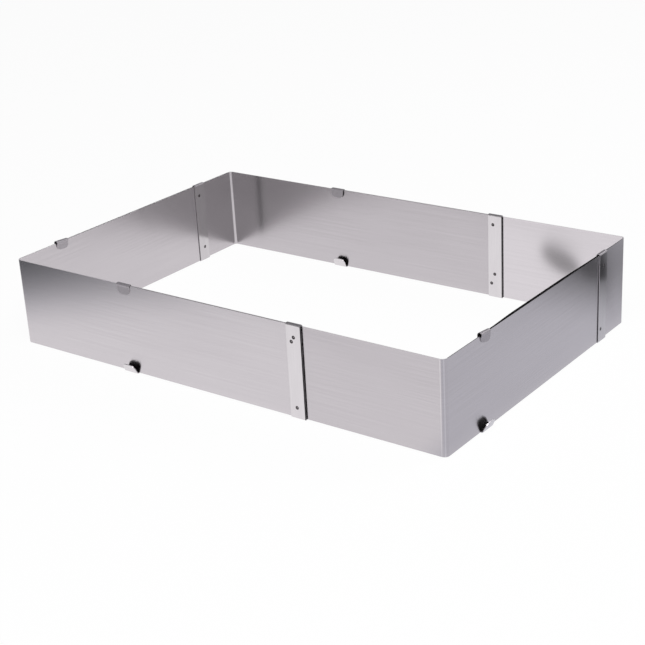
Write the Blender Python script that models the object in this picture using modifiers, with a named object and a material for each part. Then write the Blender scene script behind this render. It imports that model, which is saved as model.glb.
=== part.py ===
"""Adjustable rectangular cake frame of stainless sheet.

Four L-shaped corner sheets stand in a ring and overlap in pairs on every wall, so the ring
grows and shrinks both ways. Each arm ends in a spot-welded clip: a flat band on its own sheet
whose two ends are folded over both sheets, which keeps the pair together and lets it slide.
Going round the frame, every corner sheet is the outer layer of one of its walls and the inner
layer of the other. The frame stands on the folds under the clips. Origin: centre of the
frame's box, at the floor. +X runs along the long front wall, +Y to the back, +Z up.
"""

import math
from dataclasses import dataclass, replace

import bmesh
import bpy
from mathutils import Matrix, Vector

# Frame at rest, over the outermost sheets.
FRAME_LENGTH = 0.450
FRAME_WIDTH = 0.303

# Corner sheets.
SHEET_HEIGHT = 0.080
SHEET_THICKNESS = 0.0006
SHEET_SLACK = 0.0004
CORNER_BEND_RADIUS = 0.0045
CORNER_BEND_SEGMENTS = 8

# How far each arm stops short of the outside face at the corner that it points to.
FRONT_LEFT_LONG_SETBACK = 0.1296
FRONT_LEFT_SHORT_SETBACK = 0.0464
FRONT_RIGHT_LONG_SETBACK = 0.1247
FRONT_RIGHT_SHORT_SETBACK = 0.0390
BACK_RIGHT_LONG_SETBACK = 0.1320
BACK_RIGHT_SHORT_SETBACK = 0.0510
BACK_LEFT_LONG_SETBACK = 0.1235
BACK_LEFT_SHORT_SETBACK = 0.0480

# Clips.
CLIP_WIDTH = 0.0140
CLIP_THICKNESS = 0.0006
CLIP_END_INSET = 0.0005
SEAT_GAP = 0.0003
TOP_BEND_LIMIT_SHARE = 0.48
TOP_BEND_SEGMENTS = 5
TONGUE_CORNER_RADIUS = 0.0046
TONGUE_CORNER_SEGMENTS = 6
FLOOR_FOLD_DROP = 0.0003
HEEL_INNER_RADIUS = 0.0006
HEEL_SEGMENTS = 3
TOE_OVERHANG = 0.0003
TOE_INNER_RADIUS = 0.0014
TOE_SEGMENTS = 6

# Clips whose tongues hang over the outside of the frame: the top tongue lies on the wall.
OUTWARD_TOP_BEND_RADIUS = 0.0008
OUTWARD_TOP_ROOM = 0.0005
OUTWARD_TOP_LIFT = 0.0004
OUTWARD_TOP_TONGUE_DROP = 0.0086
OUTWARD_TOP_TIP_GAP = 0.0003
OUTWARD_BOTTOM_STANDOFF = 0.0048
OUTWARD_BOTTOM_RISE = 0.0078

# Clips whose tongues point into the frame: the top tongue stands off a little at its tip.
INWARD_TOP_BEND_RADIUS = 0.0007
INWARD_TOP_ROOM = 0.0008
INWARD_TOP_LIFT = 0.0003
INWARD_TOP_TONGUE_DROP = 0.0078
INWARD_TOP_TIP_GAP = 0.0016
INWARD_BOTTOM_STANDOFF = 0.0042
INWARD_BOTTOM_RISE = 0.0084

# The two short arms of the back corners have clips whose top fold has opened at the arm's end.
OPENED_TOP_BEND_RADIUS = 0.0014
OPENED_TOP_ROOM = 0.0012
OPENED_TOP_LIFT = 0.0021
OPENED_TOP_TONGUE_DROP = 0.0058

# Spot welds.
WELD_RADIUS = 0.0013
WELD_SIDES = 20
WELD_DISH = 0.0001
WELD_CLEARANCE = 0.0003
CUT_OVERRUN = 0.0005

# Places of the spot welds on each clip: shares of the clip's width from its middle, and of
# the sheet's height from its foot.
FRONT_BAND_WELD_SHARES = ((0.02, 0.872), (-0.145, 0.823), (-0.03, 0.111))
LEFT_BAND_WELD_SHARES = ((-0.09, 0.862), (0.06, 0.165))
BACK_BAND_WELD_SHARES = ((-0.14, 0.890), (-0.02, 0.281), (-0.265, 0.162))
RIGHT_BAND_WELD_SHARES = ((0.06, 0.860), (-0.22, 0.141))
HIDDEN_LONG_BAND_WELD_SHARES = ((0.05, 0.855), (-0.08, 0.125))
HIDDEN_SHORT_BAND_WELD_SHARES = ((-0.06, 0.865), (0.09, 0.135))

STEEL_COLOUR = (0.60, 0.58, 0.60, 1.0)
CLIP_COLOUR = (0.66, 0.64, 0.66, 1.0)
WELD_COLOUR = (0.25, 0.24, 0.25, 1.0)
STEEL_ROUGHNESS = 0.28
WELD_ROUGHNESS = 0.5
SMOOTH_ANGLE = math.radians(35)

# What follows from the sizes above.
LAYER_STEP = SHEET_THICKNESS + SHEET_SLACK
WALL_DEPTH = LAYER_STEP + SHEET_THICKNESS
FAR_FACE = SEAT_GAP + WALL_DEPTH
SHEET_FOOT = FLOOR_FOLD_DROP + CLIP_THICKNESS
WELD_DEPTH = CLIP_THICKNESS + SEAT_GAP + SHEET_THICKNESS
WELD_MIDDLE = (SEAT_GAP + SHEET_THICKNESS - CLIP_THICKNESS) / 2


@dataclass(frozen=True)
class CornerPiece:
    """One corner sheet: which corner it turns, how far its arms reach and which is outside."""

    name: str
    x_side: int
    y_side: int
    long_setback: float
    short_setback: float
    long_is_outer: bool
    short_clip_is_opened: bool
    long_weld_shares: tuple
    short_weld_shares: tuple


@dataclass(frozen=True)
class ClipForm:
    """The folds of a clip, by the side of the wall on which its tongues end."""

    name: str
    top_bend_radius: float
    top_room: float
    top_lift: float
    top_drop: float
    top_tip_gap: float
    bottom_standoff: float
    bottom_rise: float


@dataclass(frozen=True)
class Kit:
    """What the pieces are made of and where they go."""

    parts: bpy.types.Collection
    cutters: bpy.types.Collection
    sheet_steel: bpy.types.Material
    clip_steel: bpy.types.Material
    weld_steel: bpy.types.Material
    clips: dict


CORNER_PIECES = (
    CornerPiece("front_left", -1, -1, FRONT_LEFT_LONG_SETBACK, FRONT_LEFT_SHORT_SETBACK, True,
                False, FRONT_BAND_WELD_SHARES, LEFT_BAND_WELD_SHARES),
    CornerPiece("front_right", 1, -1, FRONT_RIGHT_LONG_SETBACK, FRONT_RIGHT_SHORT_SETBACK, False,
                False, HIDDEN_LONG_BAND_WELD_SHARES, RIGHT_BAND_WELD_SHARES),
    CornerPiece("back_right", 1, 1, BACK_RIGHT_LONG_SETBACK, BACK_RIGHT_SHORT_SETBACK, True,
                True, HIDDEN_LONG_BAND_WELD_SHARES, HIDDEN_SHORT_BAND_WELD_SHARES),
    CornerPiece("back_left", -1, 1, BACK_LEFT_LONG_SETBACK, BACK_LEFT_SHORT_SETBACK, False,
                True, BACK_BAND_WELD_SHARES, HIDDEN_SHORT_BAND_WELD_SHARES),
)
CARRIED_BY = {"front_right": "front_left", "back_left": "front_left", "back_right": "front_right"}
OUTWARD_FORM = ClipForm("outward", OUTWARD_TOP_BEND_RADIUS, OUTWARD_TOP_ROOM, OUTWARD_TOP_LIFT,
                        OUTWARD_TOP_TONGUE_DROP, OUTWARD_TOP_TIP_GAP,
                        OUTWARD_BOTTOM_STANDOFF, OUTWARD_BOTTOM_RISE)
INWARD_FORM = ClipForm("inward", INWARD_TOP_BEND_RADIUS, INWARD_TOP_ROOM, INWARD_TOP_LIFT,
                       INWARD_TOP_TONGUE_DROP, INWARD_TOP_TIP_GAP,
                       INWARD_BOTTOM_STANDOFF, INWARD_BOTTOM_RISE)


def clear_scene():
    for obj in list(bpy.data.objects):
        bpy.data.objects.remove(obj)


def new_collection(name):
    collection = bpy.data.collections.new(name)
    bpy.context.scene.collection.children.link(collection)
    return collection


def steel(name, colour, roughness):
    """A bare stainless steel."""
    material = bpy.data.materials.new(name)
    material.use_nodes = True
    shader = material.node_tree.nodes["Principled BSDF"]
    shader.inputs["Base Color"].default_value = colour
    shader.inputs["Metallic"].default_value = 1.0
    shader.inputs["Roughness"].default_value = roughness
    material.diffuse_color = colour
    return material


def add_mesh_object(name, mesh, collection, material):
    obj = bpy.data.objects.new(name, mesh)
    collection.objects.link(obj)
    if material is not None:
        mesh.materials.append(material)
    return obj


def swept_surface(name, points, sweep):
    """An open surface: the line through the points, drawn along the sweep."""
    bm = bmesh.new()
    verts = [bm.verts.new(point) for point in points]
    edges = [bm.edges.new(pair) for pair in zip(verts, verts[1:])]
    swept = bmesh.ops.extrude_edge_only(bm, edges=edges)
    moved = [item for item in swept["geom"] if isinstance(item, bmesh.types.BMVert)]
    bmesh.ops.translate(bm, verts=moved, vec=sweep)
    mesh = bpy.data.meshes.new(name)
    return bm, mesh


def add_wall(obj, thickness, offset):
    """Gives an open surface its thickness."""
    wall = obj.modifiers.new("wall", "SOLIDIFY")
    wall.thickness = thickness
    wall.offset = offset
    wall.use_even_offset = True


def add_cut(obj, cutter):
    cut = obj.modifiers.new("cut", "BOOLEAN")
    cut.operation = "DIFFERENCE"
    cut.solver = "EXACT"
    cut.object = cutter


def arc(centre, radius, start, end, segments):
    """Points on an arc in the plane across the wall, angles in degrees."""
    points = []
    for step in range(segments + 1):
        angle = math.radians(start + (end - start) * step / segments)
        points.append((centre[0] + radius * math.cos(angle), centre[1] + radius * math.sin(angle)))
    return points


def make_sheet(piece, corner, kit):
    """The L-shaped sheet, drawn along its outside faces and thickened into the frame."""
    long_end = piece.x_side * (piece.long_setback - FRAME_LENGTH / 2) - corner.x
    short_end = piece.y_side * (piece.short_setback - FRAME_WIDTH / 2) - corner.y
    points = [Vector((long_end, 0, 0)), Vector((0, 0, 0)), Vector((0, short_end, 0))]
    if piece.x_side * piece.y_side < 0:
        points.reverse()
    bm, mesh = swept_surface(piece.name + "_sheet", points, Vector((0, 0, SHEET_HEIGHT)))
    bm.to_mesh(mesh)
    bm.free()
    obj = add_mesh_object(piece.name + "_sheet", mesh, kit.parts, kit.sheet_steel)
    bend = obj.modifiers.new("corner_bend", "BEVEL")
    bend.width = CORNER_BEND_RADIUS
    bend.segments = CORNER_BEND_SEGMENTS
    bend.limit_method = "ANGLE"
    add_wall(obj, SHEET_THICKNESS, -1)
    return obj


def tangent_lean(reach, leg, radius):
    """How far from upright a leg leans that leaves an arc of this radius as a tangent and ends
    this far across from the arc's centre and this far above or below it, in radians."""
    return math.atan2(reach, leg) - math.asin(radius / math.hypot(reach, leg))


def clip_path(form):
    """The inner face of a clip from its bottom tongue's end, up the band, to its top tongue's end.

    Each point is (distance across the wall from the band, height over the sheet's foot)."""
    fold_floor = -FLOOR_FOLD_DROP
    toe = (FAR_FACE + TOE_OVERHANG, fold_floor + TOE_INNER_RADIUS)
    tip = (FAR_FACE + form.bottom_standoff, form.bottom_rise)
    flare = math.degrees(tangent_lean(tip[0] - toe[0], tip[1] - toe[1], TOE_INNER_RADIUS))
    path = [tip]
    path += arc(toe, TOE_INNER_RADIUS, -flare, -90, TOE_SEGMENTS)
    path += arc((HEEL_INNER_RADIUS, fold_floor + HEEL_INNER_RADIUS),
                HEEL_INNER_RADIUS, -90, -180, HEEL_SEGMENTS)
    radius = min(form.top_bend_radius, TOP_BEND_LIMIT_SHARE * (FAR_FACE + form.top_room))
    bend_height = SHEET_HEIGHT + form.top_lift - radius
    far_bend = FAR_FACE + form.top_room - radius
    tip = (FAR_FACE + form.top_tip_gap, SHEET_HEIGHT - form.top_drop)
    flare = math.degrees(tangent_lean(tip[0] - far_bend, bend_height - tip[1], radius))
    path += arc((radius, bend_height), radius, 180, 90, TOP_BEND_SEGMENTS)
    path += arc((far_bend, bend_height), radius, 90, flare, TOP_BEND_SEGMENTS)
    path.append(tip)
    return path


def round_corners(bm, height):
    """Rounds the two free corners of the tongue whose end lies at this height."""
    ends = [vert for vert in bm.verts if len(vert.link_faces) == 1]
    ends.sort(key=lambda vert: abs(vert.co.z - height))
    bmesh.ops.bevel(bm, geom=ends[:2], offset=TONGUE_CORNER_RADIUS, affect="VERTICES",
                    segments=TONGUE_CORNER_SEGMENTS, profile=0.5)


def make_clip_mesh(form):
    """A clip: the band with its fold and tongue over the top and its open fold under the foot."""
    path = clip_path(form)
    half = CLIP_WIDTH / 2
    points = [Vector((-half, across, height)) for across, height in path]
    bm, mesh = swept_surface(form.name + "_clip", points, Vector((CLIP_WIDTH, 0, 0)))
    round_corners(bm, path[0][1])
    round_corners(bm, path[-1][1])
    bm.to_mesh(mesh)
    bm.free()
    return mesh


def make_opened_clip_mesh(form):
    """The same clip with its top fold opened by wear, more and more towards the arm's end."""
    mesh = make_clip_mesh(form)
    opened = make_clip_mesh(replace(form, top_bend_radius=OPENED_TOP_BEND_RADIUS,
                                    top_room=OPENED_TOP_ROOM, top_lift=OPENED_TOP_LIFT,
                                    top_drop=OPENED_TOP_TONGUE_DROP))
    for vert, target in zip(mesh.vertices, opened.vertices):
        share = vert.co.x / CLIP_WIDTH + 0.5
        vert.co = vert.co.lerp(target.co, share)
    bpy.data.meshes.remove(opened)
    return mesh


def add_disc(bm, along, height, radius, depth, middle):
    """A round disc across the wall, at one place along the band."""
    disc = bmesh.ops.create_cone(bm, cap_ends=True, segments=WELD_SIDES,
                                 radius1=radius, radius2=radius, depth=depth)
    lie = Matrix.Rotation(math.radians(90), 3, "X")
    bmesh.ops.rotate(bm, verts=disc["verts"], cent=(0, 0, 0), matrix=lie)
    bmesh.ops.translate(bm, verts=disc["verts"], vec=(along, middle, height))


def make_discs(name, places, radius, depth, middle):
    """Round discs in one mesh."""
    bm = bmesh.new()
    for along, height in places:
        add_disc(bm, along, height, radius, depth, middle)
    mesh = bpy.data.meshes.new(name)
    bm.to_mesh(mesh)
    bm.free()
    return mesh


def place_on_wall(obj, carrier, location, turn):
    obj.parent = carrier
    obj.location = location
    obj.rotation_euler = (0, 0, turn)


def make_welds(name, places, kit):
    """The spot welds of one clip, flush through its band and its sheet."""
    welds = []
    for number, place in enumerate(places, start=1):
        weld_name = f"{name}_weld_{number}"
        mesh = make_discs(weld_name, [place], WELD_RADIUS, WELD_DEPTH - 2 * WELD_DISH, WELD_MIDDLE)
        welds.append(add_mesh_object(weld_name, mesh, kit.parts, kit.weld_steel))
    return welds


def make_weld_cutter(name, places, kit):
    mesh = make_discs(name + "_weld_cut", places, WELD_RADIUS + WELD_CLEARANCE,
                      WELD_DEPTH + 2 * CUT_OVERRUN, WELD_MIDDLE)
    cutter = add_mesh_object(name + "_weld_cut", mesh, kit.cutters, None)
    cutter.hide_render = True
    cutter.display_type = "WIRE"
    return cutter


def make_arm_end(piece, arm, corner, carrier, sheet, kit):
    """The clip at the end of one arm, with its spot welds and the holes that they fill."""
    if arm == "long":
        is_outer = piece.long_is_outer
        outward = Vector((0, piece.y_side, 0))
        homeward = Vector((piece.x_side, 0, 0))
        half_wall, half_run = FRAME_WIDTH / 2, FRAME_LENGTH / 2
        setback, shares = piece.long_setback, piece.long_weld_shares
        is_opened = False
    else:
        is_outer = not piece.long_is_outer
        outward = Vector((piece.x_side, 0, 0))
        homeward = Vector((0, piece.y_side, 0))
        half_wall, half_run = FRAME_LENGTH / 2, FRAME_WIDTH / 2
        setback, shares = piece.short_setback, piece.short_weld_shares
        is_opened = piece.short_clip_is_opened
    far_way = -outward if is_outer else outward
    band_face = half_wall + SEAT_GAP if is_outer else half_wall - FAR_FACE
    run = setback - half_run + CLIP_END_INSET + CLIP_WIDTH / 2
    location = outward * band_face + homeward * run - corner
    location.z = 0
    turn = math.atan2(-far_way.x, far_way.y)
    name = piece.name + "_" + arm
    clip_mesh = kit.clips["inward" if is_outer else "outward", is_opened]
    clip = add_mesh_object(name + "_clip", clip_mesh.copy(), kit.parts, kit.clip_steel)
    add_wall(clip, CLIP_THICKNESS, 1)
    places = [(share * CLIP_WIDTH, height_share * SHEET_HEIGHT) for share, height_share in shares]
    welds = make_welds(name, places, kit)
    cutter = make_weld_cutter(name, places, kit)
    for obj in [clip, cutter] + welds:
        place_on_wall(obj, carrier, location, turn)
    add_cut(sheet, cutter)
    add_cut(clip, cutter)
    return [clip] + welds


def make_corner_piece(piece, kit):
    """One corner sheet with its two clips, on an empty at its corner."""
    inset_x = LAYER_STEP if piece.long_is_outer else 0
    inset_y = 0 if piece.long_is_outer else LAYER_STEP
    corner = Vector((piece.x_side * (FRAME_LENGTH / 2 - inset_x),
                     piece.y_side * (FRAME_WIDTH / 2 - inset_y), SHEET_FOOT))
    carrier = bpy.data.objects.new(piece.name + "_carrier", None)
    kit.parts.objects.link(carrier)
    carrier.location = corner
    sheet = make_sheet(piece, corner, kit)
    sheet.parent = carrier
    solids = [sheet]
    for arm in ("long", "short"):
        solids += make_arm_end(piece, arm, corner, carrier, sheet, kit)
    for solid in solids:
        solid.data.shade_smooth()
        solid.data.set_sharp_from_angle(angle=SMOOTH_ANGLE)
    return carrier


def main():
    clear_scene()
    cutters = new_collection("cutters")
    cutters.hide_render = True
    kit = Kit(
        parts=new_collection("adjustable_cake_frame"),
        cutters=cutters,
        sheet_steel=steel("brushed_sheet", STEEL_COLOUR, STEEL_ROUGHNESS),
        clip_steel=steel("brushed_clip", CLIP_COLOUR, STEEL_ROUGHNESS),
        weld_steel=steel("spot_weld", WELD_COLOUR, WELD_ROUGHNESS),
        clips={(form.name, is_opened): make(form) for form in (OUTWARD_FORM, INWARD_FORM)
               for is_opened, make in ((False, make_clip_mesh), (True, make_opened_clip_mesh))},
    )
    carriers = {piece.name: make_corner_piece(piece, kit) for piece in CORNER_PIECES}
    places = {name: carrier.location.copy() for name, carrier in carriers.items()}
    for child, parent in CARRIED_BY.items():
        carriers[child].parent = carriers[parent]
        carriers[child].location = places[child] - places[parent]


main()
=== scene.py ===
"""Looks of the adjustable cake frame, a ring of four lapped corner sheets of stainless steel.

Every piece of the CAD model is drawn again in its own place as a finer mesh: the corner sheets
and the clips are folded from strips as on a bending brake, and the spot welds are turned. The
sizes in this file are in metres and degrees, and the places come from the CAD nodes' boxes.
"""

import logging
import math
from dataclasses import dataclass, field, replace
from enum import Enum, IntEnum
from typing import Any

import bmesh
import bpy
from bmesh.types import BMEdge, BMesh, BMFace, BMVert
from bpy.types import ID, Material, Mesh, Node, NodeSocket, NodeTree, Object
from mathutils import Matrix, Vector


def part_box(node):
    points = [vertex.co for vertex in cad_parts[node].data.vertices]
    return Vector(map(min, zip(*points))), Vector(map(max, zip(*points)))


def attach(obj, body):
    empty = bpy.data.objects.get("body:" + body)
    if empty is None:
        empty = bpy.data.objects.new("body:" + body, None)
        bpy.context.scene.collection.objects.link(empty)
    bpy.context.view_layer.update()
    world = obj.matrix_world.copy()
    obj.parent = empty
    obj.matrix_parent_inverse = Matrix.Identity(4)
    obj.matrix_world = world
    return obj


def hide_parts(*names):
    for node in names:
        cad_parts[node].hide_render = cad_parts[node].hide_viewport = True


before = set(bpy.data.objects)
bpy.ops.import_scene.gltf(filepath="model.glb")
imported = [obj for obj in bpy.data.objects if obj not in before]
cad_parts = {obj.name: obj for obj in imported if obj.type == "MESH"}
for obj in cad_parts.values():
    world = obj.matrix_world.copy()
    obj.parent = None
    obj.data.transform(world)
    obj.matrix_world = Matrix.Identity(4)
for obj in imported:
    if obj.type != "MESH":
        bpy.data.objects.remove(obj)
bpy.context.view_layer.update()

LOG = logging.getLogger("cake_frame")
GRAIN_MAP = "grain"
WELD_REACH = "weld_reach"
SHARP_EDGE_ANGLE = 50.0
EDGE_SEGMENTS = 2
WHITE = (1.0, 1.0, 1.0, 1.0)
UP = Vector((0.0, 0.0, 1.0))
MM = 0.001


def linear(hex_code: str) -> tuple[float, float, float, float]:
    """Turns an sRGB hex colour to linear.

    Args:
        hex_code: The colour, such as "#C0C0C0".

    Returns:
        The linear red, green and blue, with an alpha of 1.
    """
    channels = [int(hex_code[start:start + 2], 16) / 255 for start in (1, 3, 5)]
    red, green, blue = (c / 12.92 if c <= 0.04045 else ((c + 0.055) / 1.055) ** 2.4
                        for c in channels)
    return red, green, blue, 1.0


def add_node(tree: NodeTree, kind: str, settings: dict[str, Any] | None = None,
             inputs: dict[Any, Any] | None = None) -> Node:
    """Adds one node with its settings and links.

    Args:
        tree: The node tree that gets the node.
        kind: The node's type name.
        settings: Its properties and their values.
        inputs: Its inputs, by name or number, each with a value or with the socket to link.

    Returns:
        The new node.
    """
    node = tree.nodes.new(kind)
    for name, value in (settings or {}).items():
        setattr(node, name, value)
    for name, value in (inputs or {}).items():
        socket = node.inputs[name]
        if isinstance(value, NodeSocket):
            tree.links.new(value, socket)
        else:
            socket.default_value = value
    return node


def empty_material(name: str) -> tuple[Material, NodeTree]:
    """Makes a material whose node tree holds nothing yet.

    Args:
        name: The material's name.

    Returns:
        The material and its node tree.
    """
    material = bpy.data.materials.new(name)
    material.use_nodes = True
    material.node_tree.nodes.clear()
    return material, material.node_tree


def add_steel(tree: NodeTree, share: NodeSocket, colours: tuple[str, str],
              inputs: dict[str, Any]) -> None:
    """Adds the surface of a bare steel that goes from one colour to another.

    Args:
        tree: The material's node tree.
        share: How far the surface goes to the second colour.
        colours: Both colours, in hex.
        inputs: What else the shader reads.
    """
    colour = add_node(tree, "ShaderNodeMix", {"data_type": "RGBA"}, {
        0: share, 6: linear(colours[0]), 7: linear(colours[1])})
    shader = add_node(tree, "ShaderNodeBsdfPrincipled", inputs={
        "Base Color": colour.outputs[2], "Metallic": 1.0, **inputs})
    add_node(tree, "ShaderNodeOutputMaterial", inputs={"Surface": shader.outputs["BSDF"]})


def make_mesh(name: str, bm: BMesh) -> Mesh:
    """Turns a bmesh into a mesh and frees it.

    Args:
        name: The mesh's name.
        bm: What the mesh holds.

    Returns:
        The mesh.
    """
    mesh = bpy.data.meshes.new(name)
    bm.to_mesh(mesh)
    bm.free()
    return mesh


def link_object(name: str, data: ID) -> Object:
    """Puts an object into the scene.

    Args:
        name: The object's name.
        data: Its mesh, light or camera.

    Returns:
        The object.
    """
    obj = bpy.data.objects.new(name, data)
    bpy.context.scene.collection.objects.link(obj)
    return obj


def aimed(place: Vector, direction: Vector) -> Matrix:
    """The placement at a point whose Z axis goes along a direction."""
    return Matrix.Translation(place) @ direction.to_track_quat("Z", "Y").to_matrix().to_4x4()


@dataclass(frozen=True)
class GrainedSteel:
    """A rolled or belt-ground stainless steel whose grain runs along the strip.

    The grain is a bundle of fine parallel scratches, so a reflection stays sharp along it and
    is drawn out across it. Streaks of the grain differ a little in tone and in gloss, and so do
    wider clouds, which are longer along the grain. The tone span is the part of the noise's
    range over which the tone and the gloss change.
    """

    name: str
    colour: str
    streak_colour: str
    roughness: float
    roughness_spread: float
    anisotropy: float
    grain_pitch: float
    grain_length: float
    grain_depth: float
    cloud_size: float
    cloud_share: float
    cloud_slimness: float = 0.35
    tone_span: tuple[float, float] = (0.3, 0.7)

    def material(self) -> Material:
        """Builds the material.

        Returns:
            The material, which reads the piece's own grain map in metres.
        """
        material, tree = empty_material(self.name)
        grain_map = add_node(tree, "ShaderNodeUVMap", {"uv_map": GRAIN_MAP})
        noises = []
        for along, across, detail, roughness in (
                (1 / self.grain_length, 1 / self.grain_pitch, 3.0, 0.65),
                (self.cloud_slimness / self.cloud_size, 1 / self.cloud_size, 2.0, 0.5)):
            place = add_node(tree, "ShaderNodeMapping", inputs={
                "Vector": grain_map.outputs["UV"], "Scale": (along, across, 1.0)})
            noises.append(add_node(tree, "ShaderNodeTexNoise", {"noise_dimensions": "2D"}, {
                "Vector": place.outputs["Vector"], "Scale": 1.0, "Detail": detail,
                "Roughness": roughness}).outputs["Fac"])
        grain, cloud = noises
        tone = add_node(tree, "ShaderNodeMix", {"data_type": "FLOAT"}, {
            0: self.cloud_share, 2: grain, 3: cloud})
        span = {"Value": tone.outputs[0], "From Min": self.tone_span[0],
                "From Max": self.tone_span[1]}
        streak = add_node(tree, "ShaderNodeMapRange", inputs=span)
        gloss = add_node(tree, "ShaderNodeMapRange", inputs={
            **span, "To Min": self.roughness - self.roughness_spread,
            "To Max": self.roughness + self.roughness_spread})
        relief = add_node(tree, "ShaderNodeBump", inputs={
            "Strength": 1.0, "Distance": self.grain_depth, "Height": grain})
        along_grain = add_node(tree, "ShaderNodeTangent", {
            "direction_type": "UV_MAP", "uv_map": GRAIN_MAP})
        # The rotation is a quarter turn: reflections are drawn out across the grain.
        add_steel(tree, streak.outputs["Result"], (self.colour, self.streak_colour), {
            "Roughness": gloss.outputs["Result"], "Anisotropic": self.anisotropy,
            "Anisotropic Rotation": 0.25, "Normal": relief.outputs["Normal"],
            "Tangent": along_grain.outputs["Tangent"]})
        return material


@dataclass(frozen=True)
class WornSteel:
    """Bare stainless steel without a grain: a sheared edge, or stretched or bruised strip.

    Its tone changes in patches, over the tone span of the noise's range.
    """

    name: str
    colour: str
    dark_colour: str
    roughness: float
    patch_size: float
    relief_depth: float
    tone_span: tuple[float, float] = (0.35, 0.65)

    def material(self) -> Material:
        """Builds the material.

        Returns:
            The material, which reads Object coordinates.
        """
        material, tree = empty_material(self.name)
        place = add_node(tree, "ShaderNodeTexCoord")
        patches = add_node(tree, "ShaderNodeTexNoise", inputs={
            "Vector": place.outputs["Object"], "Scale": 1 / self.patch_size,
            "Detail": 3.0, "Roughness": 0.6})
        share = add_node(tree, "ShaderNodeMapRange", inputs={
            "Value": patches.outputs["Fac"], "From Min": self.tone_span[0],
            "From Max": self.tone_span[1]})
        relief = add_node(tree, "ShaderNodeBump", inputs={
            "Strength": 1.0, "Distance": self.relief_depth, "Height": patches.outputs["Fac"]})
        add_steel(tree, share.outputs["Result"], (self.colour, self.dark_colour), {
            "Roughness": self.roughness, "Normal": relief.outputs["Normal"]})
        return material


@dataclass(frozen=True)
class WeldScale:
    """The skin of a resistance spot weld: a dished, paler middle in a ring of dark scale.

    The ring is darkest over a share of its width, and its waviness is how far it runs off round.
    """

    name: str
    middle_colour: str
    ring_colour: str
    ring_radius: float
    ring_width: float
    waviness: float
    roughness: float
    darkest_share: float = 0.4

    def material(self) -> Material:
        """Builds the material.

        Returns:
            The material, which reads how far a point lies from the weld's axis.
        """
        material, tree = empty_material(self.name)
        reach = add_node(tree, "ShaderNodeAttribute", {"attribute_name": WELD_REACH})
        place = add_node(tree, "ShaderNodeTexCoord")
        waves = add_node(tree, "ShaderNodeTexNoise", inputs={
            "Vector": place.outputs["Object"], "Scale": 1 / self.ring_radius, "Detail": 2.0})
        uneven = add_node(tree, "ShaderNodeMath", {"operation": "MULTIPLY_ADD"}, {
            0: waves.outputs["Fac"], 1: 2 * self.waviness, 2: reach.outputs["Fac"]})
        distance = add_node(tree, "ShaderNodeMath", {"operation": "SUBTRACT"}, {
            0: uneven.outputs["Value"], 1: self.ring_radius + self.waviness})
        off_ring = add_node(tree, "ShaderNodeMath", {"operation": "ABSOLUTE"}, {
            0: distance.outputs["Value"]})
        ring = add_node(tree, "ShaderNodeMapRange", {"interpolation_type": "SMOOTHSTEP"}, {
            "Value": off_ring.outputs["Value"],
            "From Min": self.darkest_share * self.ring_width, "From Max": self.ring_width})
        add_steel(tree, ring.outputs["Result"], (self.ring_colour, self.middle_colour), {
            "Roughness": self.roughness})
        return material


class Side(Enum):
    """A wall of the ring, by the way that it faces."""

    FRONT = (0.0, -1.0)
    RIGHT = (1.0, 0.0)
    BACK = (0.0, 1.0)
    LEFT = (-1.0, 0.0)

    @property
    def outward(self) -> Vector:
        """The level direction out of the ring."""
        return Vector((*self.value, 0.0))


class Layer(Enum):
    """Where an arm lies in its wall."""

    OUTER = "outer"
    INNER = "inner"

    @property
    def other(self) -> "Layer":
        """The layer that the arm laps with."""
        return Layer.INNER if self is Layer.OUTER else Layer.OUTER


class Reach(Enum):
    """Which of a corner sheet's two arms it is, as the nodes' names say it."""

    LONG = "long"
    SHORT = "short"


def extreme(low: Vector, high: Vector, direction: Vector) -> float:
    """How far a box reaches along a level or upright axis.

    Args:
        low: The box's lowest corner.
        high: The box's highest corner.
        direction: The axis, as a unit vector.

    Returns:
        The reach along the direction, from the origin.
    """
    return max(low.dot(direction), high.dot(direction))


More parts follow.
